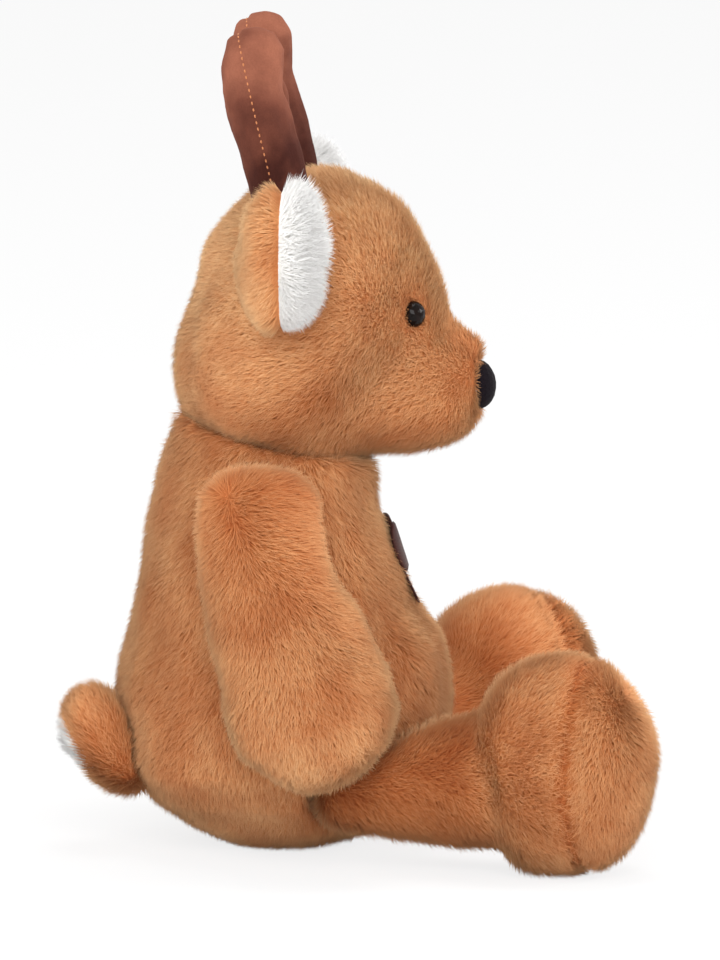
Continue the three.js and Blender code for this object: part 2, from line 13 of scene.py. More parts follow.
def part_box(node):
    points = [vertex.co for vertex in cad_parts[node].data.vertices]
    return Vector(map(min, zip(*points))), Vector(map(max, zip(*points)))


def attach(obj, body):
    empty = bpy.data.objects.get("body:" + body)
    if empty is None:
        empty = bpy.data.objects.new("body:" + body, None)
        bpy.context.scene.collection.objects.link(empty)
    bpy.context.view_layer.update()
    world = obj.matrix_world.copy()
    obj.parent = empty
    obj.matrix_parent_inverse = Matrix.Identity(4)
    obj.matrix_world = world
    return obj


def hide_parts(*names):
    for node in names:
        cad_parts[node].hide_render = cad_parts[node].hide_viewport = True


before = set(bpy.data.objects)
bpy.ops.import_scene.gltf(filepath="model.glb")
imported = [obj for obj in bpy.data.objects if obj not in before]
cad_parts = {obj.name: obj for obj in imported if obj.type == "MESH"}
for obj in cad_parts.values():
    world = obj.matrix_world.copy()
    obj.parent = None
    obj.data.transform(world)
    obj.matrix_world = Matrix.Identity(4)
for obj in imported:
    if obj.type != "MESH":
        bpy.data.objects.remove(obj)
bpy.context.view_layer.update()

MM = 0.001
TINY = 1e-9
SIDES = ("left", "right")

# Camera, as the photograph was taken
CAMERA_AZIMUTH = math.radians(-6.5)
CAMERA_ELEVATION = math.radians(8.5)
CAMERA_DISTANCE = 7.0
CAMERA_LENS = 682.5
CAMERA_TARGET = Vector((0.0062, 0, 0.1408))

# Lamps: the name, the place, the width and the power of each. All of them face the deer
LAMPS = (
    ("key", (-0.2, -2.2, 1.2), 1.4, 36),
    ("front", (2.3, -0.2, 1.2), 1.2, 32),
    ("top", (0.2, 0.3, 2.4), 1.2, 18),
    ("back", (-2.0, -0.5, 1.2), 1.2, 16),
)
ROOM_LIGHT = 0.65
FLOOR_REACH = 6.0
FLOOR_GLOW = 0.8

# Stuffed forms: the cloth under the pile
SKIN_VOXEL = 3 * MM
SKIN_THIN_VOXEL = 1.6 * MM
SUEDE_VOXEL = 1.1 * MM
SKIN_INSET = 1.3 * MM
SKIN_THIN_INSET = 1.0 * MM
ANTLER_FILL_INSET = 1.2 * MM
WELD_GAP = 0.002 * MM

# Lumps that the stuffing leaves in the cloth: each pair is a depth and a size
SKIN_LUMPS = 2.2 * MM, 24 * MM
THIN_LUMPS = 1.2 * MM, 13 * MM
SUEDE_LUMPS = 0.9 * MM, 11 * MM

# Sewn seams, where the thread draws the cloth in: each pair is a depth and a width
FOOT_SEAM = 1.8 * MM, 4.0 * MM
EAR_SEAM = 0.8 * MM, 2.5 * MM
TAIL_SEAM = 0.8 * MM, 3.0 * MM
ANTLER_SEAM = 0.9 * MM, 1.4 * MM

# How close two panels' rims lie, how far the tail's top wraps under, and how far hairs part beside a seam
RIM_REACH = 0.5 * MM
TAIL_WRAP = 5.5 * MM
PARTING = 4 * MM

# Topstitching on the antlers
STITCH_PITCH = 2.5 * MM
STITCH_LENGTH = 1.7 * MM
STITCH_THICKNESS = 0.7 * MM
STITCH_START = 12 * MM

# Pile: one hair, repeated
HAIR_WIDTH = 0.44 * MM
HAIR_LENGTH = 6.8 * MM
HAIR_LEAN = math.radians(51)
SKIN_TONE = 0.6
HAIRS_PER_SQUARE_METRE = 3.1e6
SHORTEST_HAIR = 0.72
LONGEST_HAIR = 1.15
SWIRL_SIZE = 34 * MM
TUFT_SIZE = 6.5 * MM
UPRIGHT_STRAY = 0.45
FLOOR_CLEARANCE = 0.1 * MM

# How much of a hair's shading direction comes from the skin, and how much from its own sides
SKIN_SHADING = 0.8
HAIR_SHADING = 0.4

# Combing: ways that hairs lie, with X forward and Z up, and how much they turn outward from a limb
BODY_COMB = (-0.15, 0, -1.0)
ARM_COMB = (0.45, 0, -0.9)
ARM_COMB_OUT = 1.1
LEG_COMB_OUT = 0.8
FACE_COMB_DOWN = np.array([0, 0, -0.35])
EAR_COMB_DOWN = np.array([0, 0, -0.6])
SOLE_COMB_RISE = np.array([0, 0, 26 * MM])

# Face: no pile grows on the eyes and the nose, and it is trimmed round them
NOSE_BARE = 9.2 * MM
EYE_BARE = 4.2 * MM
MUZZLE_REACH = 20 * MM
EYE_REACH = 9 * MM
MUZZLE_TRIM = 0.5
EYE_TRIM = 0.65

# Ear lining: longer, more upright hairs, trimmed at the rim and at the foot of the ear
LINING_LENGTH = 14 * MM
LINING_LEAN = math.radians(24)
LINING_HAIRS = 3.2e6
LINING_SPREAD = 0.5
LINING_RISE = 4 * MM
LINING_FOOT = 12 * MM
LINING_RIM_TRIM = 0.45
LINING_FOOT_TRIM = 0.4

# Painted light and shade on the pile: 1 paints it pale like its tips, 0 in its deep colour. The skin between
# the hairs takes painted shade and is deeper
CROWN_PAINTED_LIGHT = 0.95
CHEEK_PAINTED_LIGHT = 0.45
BODY_PAINTED_LIGHT = 0.42
SHOULDER_PAINTED_LIGHT = 0.1
HAND_PAINTED_LIGHT = 0.72
HIP_PAINTED_LIGHT = 0.0
FOOT_PAINTED_LIGHT = 0.42
TAIL_PAINTED_LIGHT = 0.3
# Heights between which the painted light on the head rises from the cheeks to the crown
CHEEK_HEIGHT = 180 * MM
CROWN_HEIGHT = 228 * MM
# A random spread in tone from hair to hair
HAIR_TONE_SPREAD = 0.22
# Painted shade on the skin between the hairs
UNDER_HAIR_PAINTED_SHADE = 0.25
# Painted shade in the crease of a seam, and the height above which it is at its full depth
CREASE_PAINTED_SHADE = 0.9
CREASE_HEIGHT = 70 * MM
# Painted shade in the pile round the eyes
EYE_PAINTED_SHADE = 0.35
# Painted shade on the side of each leg that faces the other leg
INNER_PAINTED_SHADE = 0.35
# Before the foot's seam, the leg's painted shade at the hip fades out between these distances
HIP_REACH = 50 * MM
FOOT_REACH = 26 * MM

# How the stuffing settles: the underside rounds up at its sides, and the chest sinks in at the bow
SEAT_LIFT = 5 * MM
SEAT_HALF_WIDTH = 45 * MM
SEAT_ROUND = 25 * MM
HEEL_START = 60 * MM
HEEL_RUN = 15 * MM
CHEST_SINK = 8 * MM
CHEST_HEIGHT = 108 * MM
CHEST_REACH = 25 * MM
CHEST_DEPTH = 30 * MM

# Colours as the eye sees them, 0 to 255
TAN_ROOT = (206, 134, 82)
TAN_MIDDLE = (232, 166, 110)
TAN_TIP = (251, 208, 157)
WHITE_ROOT = (246, 243, 238)
WHITE_MIDDLE = (250, 248, 245)
WHITE_TIP = (254, 253, 251)
SUEDE_DARK = (64, 32, 26)
SUEDE_MIDDLE = (106, 60, 47)
SUEDE_LIGHT = (146, 90, 70)
THREAD_DARK = (170, 104, 60)
THREAD_GOLD = (208, 134, 86)
NOSE_BLACK = (14, 10, 13)
NOSE_FLOCK = (26, 20, 26)
EYE_BLACK = (14, 10, 9)
EYE_BROWN = (26, 15, 11)
BOW_BROWN = (62, 34, 30)
FIBRE_WHITE = (238, 236, 230)
CLOTH_CREAM = (222, 210, 190)
WASHER_GREY = (214, 214, 210)
WASHER_WHITE = (232, 232, 228)
FLOOR_PALE = (242, 242, 242)

# Shares of red, green and blue light that the darker places of a material keep
TAN_DEEP = (0.69, 0.45, 0.33)
WHITE_DEEP = (0.97, 0.96, 0.95)
SUEDE_SPECKLE = (0.82, 0.80, 0.78)
FIBRE_SHADE = (0.82, 0.81, 0.79)
WEAVE_SHADE = (0.78, 0.76, 0.72)
SATIN_SHADE = (0.78, 0.76, 0.76)

# Patterns in the materials: the size of their features, their depth, and the scale of their waves
COAT_CLOUD_SIZE = 26 * MM
SUEDE_PATCH_SIZE = 22 * MM
SUEDE_GRAIN_SIZE = 0.7 * MM
SUEDE_GRAIN_DEPTH = 0.15 * MM
SUEDE_GRAIN_SHARE = 0.7
FIBRE_SIZE = 3 * MM
FIBRE_STRETCH = (1, 1, 4)
FIBRE_DEPTH = 0.6 * MM
WEAVE_SCALE = 199.04
WEAVE_DEPTH = 0.2 * MM
SATIN_CLOUD_SIZE = 9 * MM
SATIN_RIB_SCALE = 260.0
SATIN_RIB_DEPTH = 0.05 * MM
EYE_CLOUD_SIZE = 3 * MM
FLOCK_SIZE = 0.35 * MM
FLOCK_DEPTH = 0.2 * MM
WASHER_FLOW_SIZE = 2 * MM
WASHER_FLOW_DEPTH = 0.03 * MM
THREAD_TWIST_SIZE = 0.5 * MM

# Painted light on the suede: how much paler its upper parts are painted than its lower parts, as if lit from
# above, and between which heights
SUEDE_PAINTED_LIGHT = 0.16
SUEDE_LOW = 255 * MM
SUEDE_HIGH = 315 * MM


# Plain helpers

def linear(colour):
    """An eye colour, 0 to 255, as the linear colour that shaders take."""
    shares = [c / 255 for c in colour]
    return tuple(s / 12.92 if s <= 0.04045 else ((s + 0.055) / 1.055) ** 2.4 for s in shares) + (1.0,)


def coordinates(mesh):
    found = np.empty(len(mesh.vertices) * 3)
    mesh.vertices.foreach_get("co", found)
    return found.reshape(-1, 3)


def vertex_normals(mesh):
    found = np.empty(len(mesh.vertices) * 3)
    mesh.vertex_normals.foreach_get("vector", found)
    return found.reshape(-1, 3)


def unit(vectors):
    return vectors / np.maximum(np.linalg.norm(vectors, axis=1, keepdims=True), TINY)


def tangent(vectors, normals):
    """The part of each vector that lies along the surface."""
    return vectors - normals * np.sum(vectors * normals, axis=1, keepdims=True)


def centre_of(node):
    low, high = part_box(node)
    return (Vector(low) + Vector(high)) / 2


def gap_to(points, places):
    """How far each point is from the closest place."""
    return np.min([np.linalg.norm(points - np.array(place), axis=1) for place in places], axis=0)


def near(points, places, radius):
    """How near each point is to the closest place: 1 on it, falling to 0 past the radius."""
    return np.exp(-((gap_to(points, places) / radius) ** 2))


def settle(piece, chest=True):
    """Lets a piece of the stuffed body or a leg come to rest. Only the body has a chest to sink."""
    x, y, z = coordinates(piece.data).T
    low = np.exp(-((z / SEAT_ROUND) ** 2)) * np.clip((HEEL_START - x) / HEEL_RUN, 0, 1)
    lift = SEAT_LIFT * np.minimum((y / SEAT_HALF_WIDTH) ** 2, 1) * low
    sink = CHEST_SINK * np.exp(-(((z - CHEST_HEIGHT) / CHEST_REACH) ** 4)) * np.clip(x / CHEST_DEPTH, 0, 1)
    places = np.column_stack([x - sink * chest, y, z + lift])
    piece.data.vertices.foreach_set("co", places.ravel())
    piece.data.update()


def draw_in(piece, depth):
    """Moves a piece's surface in along its normals."""
    places = coordinates(piece.data) - vertex_normals(piece.data) * depth
    piece.data.vertices.foreach_set("co", places.ravel())
    piece.data.update()


def new_object(name, data):
    made = bpy.data.objects.new(name, data)
    bpy.context.scene.collection.objects.link(made)
    return made


def baked(thing):
    """A plain mesh of an object with its modifiers applied. The object keeps none of them."""
    bpy.context.view_layer.update()
    graph = bpy.context.evaluated_depsgraph_get()
    mesh = bpy.data.meshes.new_from_object(thing.evaluated_get(graph), depsgraph=graph)
    thing.modifiers.clear()
    old = thing.data
    thing.data = mesh
    bpy.data.meshes.remove(old)
    return thing


def take_finish(piece, finish):
    """Makes a material the only one of a piece."""
    piece.data.materials.clear()
    piece.data.materials.append(MATERIALS[finish])


def write_attribute(mesh, name, kind, values):
    slot = mesh.attributes.new(name, kind, "POINT")
    key = "vector" if kind == "FLOAT_VECTOR" else "value"
    slot.data.foreach_set(key, np.ascontiguousarray(values, dtype=np.float32).ravel())


# Node helpers

def add_node(tree, kind, settings=None, **inputs):
    """A node, with its settings and its inputs, which are values or the sockets that feed them."""
    node = tree.nodes.new(kind)
    for name, value in (settings or {}).items():
        setattr(node, name, value)
    for name, value in inputs.items():
        feed(tree, node.inputs[name.replace("_", " ")], value)
    return node


def feed(tree, socket, value):
    if isinstance(value, bpy.types.NodeSocket):
        tree.links.new(value, socket)
    else:
        socket.default_value = value


def vector_step(tree, operation, first, second=None, scale=None):
    node = tree.nodes.new("ShaderNodeVectorMath")
    node.operation = operation
    feed(tree, node.inputs[0], first)
    if second is not None:
        feed(tree, node.inputs[1], second)
    if scale is not None:
        feed(tree, node.inputs["Scale"], scale)
    return node.outputs[0]


def number_step(tree, operation, first, second):
    node = tree.nodes.new("ShaderNodeMath")
    node.operation = operation
    feed(tree, node.inputs[0], first)
    feed(tree, node.inputs[1], second)
    return node.outputs[0]


def mixed_colour(tree, share, first, second, blend="MIX"):
    node = tree.nodes.new("ShaderNodeMix")
    node.data_type = "RGBA"
    node.blend_type = blend
    feed(tree, node.inputs[0], share)
    feed(tree, node.inputs[6], first)
    feed(tree, node.inputs[7], second)
    return node.outputs[2]


def ramp(tree, share, stops):
    """A colour ramp from (place, colour) stops."""
    node = tree.nodes.new("ShaderNodeValToRGB")
    feed(tree, node.inputs[0], share)
    elements = node.color_ramp.elements
    while len(elements) < len(stops):
        elements.new(0.5)
    for element, (place, colour) in zip(elements, stops):
        element.position = place
        element.color = colour
    return node.outputs[0]


def new_group(name, inputs, output):
    """A Geometry Nodes tree with one output, the keys that set its inputs, and the inputs' sockets."""
    tree = bpy.data.node_groups.new(name, "GeometryNodeTree")
    keys = {}
    for label, kind in inputs:
        socket = tree.interface.new_socket(label, in_out="INPUT", socket_type=f"NodeSocket{kind}")
        keys[label] = socket.identifier
    tree.interface.new_socket(output, in_out="OUTPUT", socket_type="NodeSocketGeometry")
    return tree, keys, tree.nodes.new("NodeGroupInput").outputs


def end_group(tree, geometry, finish):
    """Gives the geometry its material and makes it the tree's result."""
    finished = add_node(tree, "GeometryNodeSetMaterial", Geometry=geometry, Material=finish)
    result = tree.nodes.new("NodeGroupOutput")
    tree.links.new(finished.outputs[0], result.inputs[0])


def run_group(thing, tree, keys, values):
    """Runs a Geometry Nodes tree on an object, which keeps the result as its mesh."""
    modifier = thing.modifiers.new(tree.name, "NODES")
    modifier.node_group = tree
    for label, value in values.items():
        modifier[keys[label]] = value
    baked(thing)


def point_value(tree, name, kind="FLOAT"):
    """A value that the mesh carries at its points."""
    return add_node(tree, "GeometryNodeInputNamedAttribute", {"data_type": kind}, Name=name).outputs[0]


def random_number(tree, low, high, seed):
    return add_node(tree, "FunctionNodeRandomValue", {"data_type": "FLOAT"}, Min=low, Max=high,
                    Seed=seed).outputs[1]


def turn_to(tree, upright, along):
    """The turn that sets an instance's Z upright and its X along."""
    return add_node(tree, "FunctionNodeAxesToRotation", {"primary_axis": "Z", "secondary_axis": "X"},
                    Primary_Axis=upright, Secondary_Axis=along).outputs[0]


def with_value(tree, instances, name, kind, value):
    """Instances that carry a value under a name."""
    return add_node(tree, "GeometryNodeStoreNamedAttribute", {"data_type": kind, "domain": "INSTANCE"},
                    Geometry=instances, Name=name, Value=value).outputs[0]


def light_kept(tree, share, dark, low, high):
    """The light that a place keeps: the dark shares where the value is low, all where it is high."""
    return ramp(tree, share, [(low, (*dark, 1)), (high, (1, 1, 1, 1))])


def multiplied(tree, first, second):
    return mixed_colour(tree, 1.0, first, second, "MULTIPLY")


def new_material(name, roughness, specular, sheen=0.0, sheen_roughness=0.5):
    """A material with one Principled shader, and the Object coordinates that its patterns read."""
    material = bpy.data.materials.new(name)
    material.use_nodes = True
    tree = material.node_tree
    shader = tree.nodes["Principled BSDF"]
    shader.inputs["Roughness"].default_value = roughness
    shader.inputs["Specular IOR Level"].default_value = specular
    shader.inputs["Sheen Weight"].default_value = sheen
    shader.inputs["Sheen Roughness"].default_value = sheen_roughness
    place = add_node(tree, "ShaderNodeTexCoord").outputs["Object"]
    return material, tree, shader, place


def noise(tree, place, size, detail=2.0, roughness=0.5):
    """Noise whose features are about size metres across."""
    return add_node(tree, "ShaderNodeTexNoise", Vector=place, Scale=1 / size, Detail=detail,
                    Roughness=roughness).outputs[0]


def waves(tree, place, direction, scale):
    """Straight ribs in bands along a direction."""
    return add_node(tree, "ShaderNodeTexWave", {"bands_direction": direction}, Vector=place,
                    Scale=scale).outputs["Fac"]


def painted(tree, shader, colour):
    tree.links.new(colour, shader.inputs["Base Color"])


def bumped(tree, shader, height, depth):
    bump = add_node(tree, "ShaderNodeBump", Height=height, Distance=depth, Strength=1.0)
    tree.links.new(bump.outputs[0], shader.inputs["Normal"])


# Materials

def pile_material(name, root, middle, tip, deep, cloud_share, sheen):
    """Hairs: dark at the root, pale at the tip, with redder clouds over the coat and a tone for each hair,
    which carries the skin's painted light and shade and a random spread.
    """
    material, tree, shader, place = new_material(name, roughness=0.85, specular=0.15, sheen=sheen)
    shader.inputs["Sheen Tint"].default_value = linear(tip)
    along = add_node(tree, "ShaderNodeAttribute", {"attribute_name": "along"}).outputs["Fac"]
    tone = add_node(tree, "ShaderNodeAttribute", {"attribute_name": "tone"}).outputs["Fac"]
    hair = ramp(tree, along, [(0.0, linear(root)), (0.55, linear(middle)), (1.0, linear(tip))])
    cloud = noise(tree, place, COAT_CLOUD_SIZE, detail=3.0)
    cloudy = multiplied(tree, hair, light_kept(tree, cloud, deep, 0.36, 0.62))
    clouded = mixed_colour(tree, cloud_share, hair, cloudy)
    # The tone carries painted light and shade as well as each hair's random tone
    painted(tree, shader, multiplied(tree, clouded, light_kept(tree, tone, deep, 0.0, 1.0)))
    return material


def suede_material():
    """Brushed suede: pale and dark patches where the nap lies over, painted light that makes its upper parts
    paler, and a fine grain.
    """
    material, tree, shader, place = new_material("brown_suede", roughness=0.85, specular=0.08, sheen=0.25,
                                                 sheen_roughness=0.45)
    shader.inputs["Sheen Tint"].default_value = linear(SUEDE_LIGHT)
    patches = noise(tree, place, SUEDE_PATCH_SIZE, detail=3.0, roughness=0.55)
    patches = add_node(tree, "ShaderNodeMapRange", Value=patches, To_Min=0.2, To_Max=0.8).outputs[0]
    # Painted light: the suede is painted paler towards its top, as if lit from above
    height = add_node(tree, "ShaderNodeSeparateXYZ", Vector=place).outputs["Z"]
    painted_height_light = add_node(tree, "ShaderNodeMapRange", Value=height, From_Min=SUEDE_LOW, From_Max=SUEDE_HIGH,
                    To_Min=-SUEDE_PAINTED_LIGHT, To_Max=SUEDE_PAINTED_LIGHT).outputs[0]
    patches_and_light = number_step(tree, "ADD", patches, painted_height_light)
    tones = [(0.34, linear(SUEDE_DARK)), (0.52, linear(SUEDE_MIDDLE)), (0.72, linear(SUEDE_LIGHT))]
    nap = ramp(tree, patches_and_light, tones)
    grain = noise(tree, place, SUEDE_GRAIN_SIZE, detail=3.0)
    speckled = multiplied(tree, nap, light_kept(tree, grain, SUEDE_SPECKLE, 0.3, 0.7))
    painted(tree, shader, mixed_colour(tree, SUEDE_GRAIN_SHARE, nap, speckled))
    bumped(tree, shader, grain, SUEDE_GRAIN_DEPTH)
    return material


def fibre_material():
    """Loose filling: fibres that show as fine streaks."""
    material, tree, shader, place = new_material("polyester_fill", roughness=0.9, specular=0.15)
    stretched = add_node(tree, "ShaderNodeMapping", Vector=place)
    stretched.inputs["Scale"].default_value = FIBRE_STRETCH
    streaks = noise(tree, stretched.outputs[0], FIBRE_SIZE, detail=4.0)
    kept = light_kept(tree, streaks, FIBRE_SHADE, 0.35, 0.65)
    painted(tree, shader, multiplied(tree, linear(FIBRE_WHITE), kept))
    bumped(tree, shader, streaks, FIBRE_DEPTH)
    return material


def weave_material():
    """Plain woven cloth: threads over and under."""
    material, tree, shader, place = new_material("pellet_cloth", roughness=0.8, specular=0.2, sheen=0.2)
    warp = waves(tree, place, "X", WEAVE_SCALE)
    weft = waves(tree, place, "Z", WEAVE_SCALE)
    height = number_step(tree, "MAXIMUM", warp, weft)
    kept = light_kept(tree, height, WEAVE_SHADE, 0.0, 1.0)
    painted(tree, shader, multiplied(tree, linear(CLOTH_CREAM), kept))
    bumped(tree, shader, height, WEAVE_DEPTH)
    return material


def satin_material():
    """Woven satin ribbon: a low gloss with fine ribs along it."""
    material, tree, shader, place = new_material("bow_satin", roughness=0.5, specular=0.1, sheen=0.05)
    ribs = waves(tree, place, "Z", SATIN_RIB_SCALE)
    clouds = noise(tree, place, SATIN_CLOUD_SIZE)
    kept = light_kept(tree, clouds, SATIN_SHADE, 0.35, 0.65)
    painted(tree, shader, multiplied(tree, linear(BOW_BROWN), kept))
    bumped(tree, shader, ribs, SATIN_RIB_DEPTH)
    return material


def eye_material():
    """Moulded eye: near black, polished, with faint depth in its colour."""
    material, tree, shader, place = new_material("eye_plastic", roughness=0.12, specular=0.1)
    clouds = noise(tree, place, EYE_CLOUD_SIZE)
    painted(tree, shader, ramp(tree, clouds, [(0.3, linear(EYE_BLACK)), (0.8, linear(EYE_BROWN))]))
    return material


def flock_material():
    """Flocked nose: a matt black velvet of very short fibres."""
    material, tree, shader, place = new_material("nose_flock", roughness=0.92, specular=0.05, sheen=0.04,
                                                 sheen_roughness=0.35)
    fibres = noise(tree, place, FLOCK_SIZE)
    painted(tree, shader, ramp(tree, fibres, [(0.3, linear(NOSE_BLACK)), (0.75, linear(NOSE_FLOCK))]))
    bumped(tree, shader, fibres, FLOCK_DEPTH)
    return material


def washer_material():
    """Moulded washer: pale plastic with faint flow marks."""
    material, tree, shader, place = new_material("washer_plastic", roughness=0.45, specular=0.4)
    flow = noise(tree, place, WASHER_FLOW_SIZE)
    painted(tree, shader, ramp(tree, flow, [(0.3, linear(WASHER_GREY)), (0.7, linear(WASHER_WHITE))]))
    bumped(tree, shader, flow, WASHER_FLOW_DEPTH)
    return material


def thread_material():
    """Sewing thread: darker and paler where it twists."""
    material, tree, shader, place = new_material("gold_thread", roughness=0.6, specular=0.3, sheen=0.2)
    twist = noise(tree, place, THREAD_TWIST_SIZE)
    painted(tree, shader, ramp(tree, twist, [(0.3, linear(THREAD_DARK)), (0.7, linear(THREAD_GOLD))]))
    return material


TAN = TAN_ROOT, TAN_MIDDLE, TAN_TIP, TAN_DEEP
WHITE = WHITE_ROOT, WHITE_MIDDLE, WHITE_TIP, WHITE_DEEP
MATERIALS = {
    "tan_pile": pile_material("tan_pile", *TAN, cloud_share=0.6, sheen=0.5),
    "white_pile": pile_material("white_pile", *WHITE, cloud_share=0.1, sheen=1.0),
    "brown_suede": suede_material(),
    "polyester_fill": fibre_material(),
    "pellet_cloth": weave_material(),
    "bow_satin": satin_material(),
    "eye_plastic": eye_material(),
    "nose_flock": flock_material(),
    "washer_plastic": washer_material(),
    "gold_thread": thread_material(),
}


# Stuffed forms

def joined_copy(name, nodes):
    """One welded mesh from copies of CAD nodes."""
    made = bmesh.new()
    for node in nodes:
        made.from_mesh(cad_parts[node].data)
    bmesh.ops.remove_doubles(made, verts=made.verts, dist=WELD_GAP)
    mesh = bpy.data.meshes.new(name)
    made.to_mesh(mesh)
    made.free()
    return new_object(name, mesh)


def outer_form(mesh):
    """Keeps the outermost closed surface of a mesh, and drops what is inside it."""
    work = bmesh.new()
    work.from_mesh(mesh)
    start = max(work.verts, key=lambda v: v.co.x)
    kept = {start}
    front = [start]
    while front:
        vertex = front.pop()
        for edge in vertex.link_edges:
            other = edge.other_vert(vertex)
            if other not in kept:
                kept.add(other)
                front.append(other)
    bmesh.ops.delete(work, geom=[v for v in work.verts if v not in kept], context="VERTS")
    work.to_mesh(mesh)
    work.free()


def lumped(points, normals, lumps):
    """Points moved in and out along their normals, in soft lumps and hollows."""
    depth, size = lumps
    swell = np.array([lump_noise.noise(Vector(place) / size) for place in points])
    return points + normals * (swell * depth)[:, None]


def stuffed_form(name, nodes, voxel=SKIN_VOXEL, relax=3, inset=SKIN_INSET, lumps=SKIN_LUMPS):
    """The sewn form of CAD nodes as one smooth closed skin. The pile on it reaches past their surface."""
    form = joined_copy(name, nodes)
    remesh = form.modifiers.new("skin", "REMESH")
    remesh.mode = "VOXEL"
    remesh.voxel_size = voxel
    baked(form)
    outer_form(form.data)
    smooth = form.modifiers.new("relax", "SMOOTH")
    smooth.factor = 0.5
    smooth.iterations = relax
    baked(form)
    normals = vertex_normals(form.data)
    places = lumped(coordinates(form.data) - normals * inset, normals, lumps)
    form.data.vertices.foreach_set("co", places.ravel())
    form.data.update()
    form.data.shade_smooth()
    return form


class Seam:
    """The plane where two sewn panels meet. Its way points from the first to the second."""

    def __init__(self, first, second):
        rims = coordinates(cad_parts[second].data)
        tree = KDTree(len(rims))
        for at, place in enumerate(rims):
            tree.insert(place, at)
        tree.balance()
        rim = np.array([p for p in coordinates(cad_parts[first].data) if tree.find(p)[2] < RIM_REACH])
        self.middle = rim.mean(axis=0)
        self.way = np.linalg.svd(rim - self.middle)[2][2]
        if self.way @ np.array(centre_of(second) - centre_of(first)) < 0:
            self.way = -self.way

    def beyond(self, points):
        """How far points are past the seam."""
        return (points - self.middle) @ self.way

    def nearness(self, points):
        """1 on the seam, falling to 0 past the parting."""
        return np.exp(-((self.beyond(points) / PARTING) ** 2))

    def pull_in(self, form, depth, width):
        """Draws the cloth in along the seam."""
        points = coordinates(form.data)
        drawn = depth * np.exp(-((self.beyond(points) / width) ** 2))
        places = points - vertex_normals(form.data) * drawn[:, None]
        form.data.vertices.foreach_set("co", places.ravel())
        form.data.update()

    def cut(self, form, name, keep_beyond):
        """A copy of the form on one side of the seam."""
        work = bmesh.new()
        work.from_mesh(form.data)
        everything = [*work.verts, *work.edges, *work.faces]
        bmesh.ops.bisect_plane(work, geom=everything, plane_co=self.middle, plane_no=self.way,
                               clear_inner=keep_beyond, clear_outer=not keep_beyond)
        mesh = bpy.data.meshes.new(name)
        work.to_mesh(mesh)
        work.free()
        mesh.shade_smooth()
        return new_object(name, mesh)


def sewn_pair(names, panels, stuffing, voxel, inset, seam_pull, lumps, relax=1, wrap=0.0):
    """Two panels sewn into one stuffed form: their seam, and a skin for each. Wrap widens the first."""
    seam = Seam(*panels)
    seam.middle += seam.way * wrap
    whole = stuffed_form("sewn", [*panels, *stuffing], voxel, relax, inset, lumps)
    seam.pull_in(whole, *seam_pull)
    pair = [seam.cut(whole, name, beyond) for name, beyond in zip(names, (False, True))]
    bpy.data.objects.remove(whole)
    return seam, *pair


# The pile

def one_hair(name, lean):
    """A hair as a needle with three sides, one long and one wide, that leans towards +X."""
    half_depth = HAIR_WIDTH / HAIR_LENGTH / 2
    foot = [(-half_depth, -0.5, 0), (-half_depth, 0.5, 0), (half_depth, 0, 0)]
    tip = (math.sin(lean), 0, math.cos(lean))
    mesh = bpy.data.meshes.new(name)
    mesh.from_pydata([*foot, tip], [], [(1, 0, 3), (0, 2, 3), (2, 1, 3)])
    write_attribute(mesh, "along", "FLOAT", [0, 0, 0, 1])
    return new_object(name, mesh)


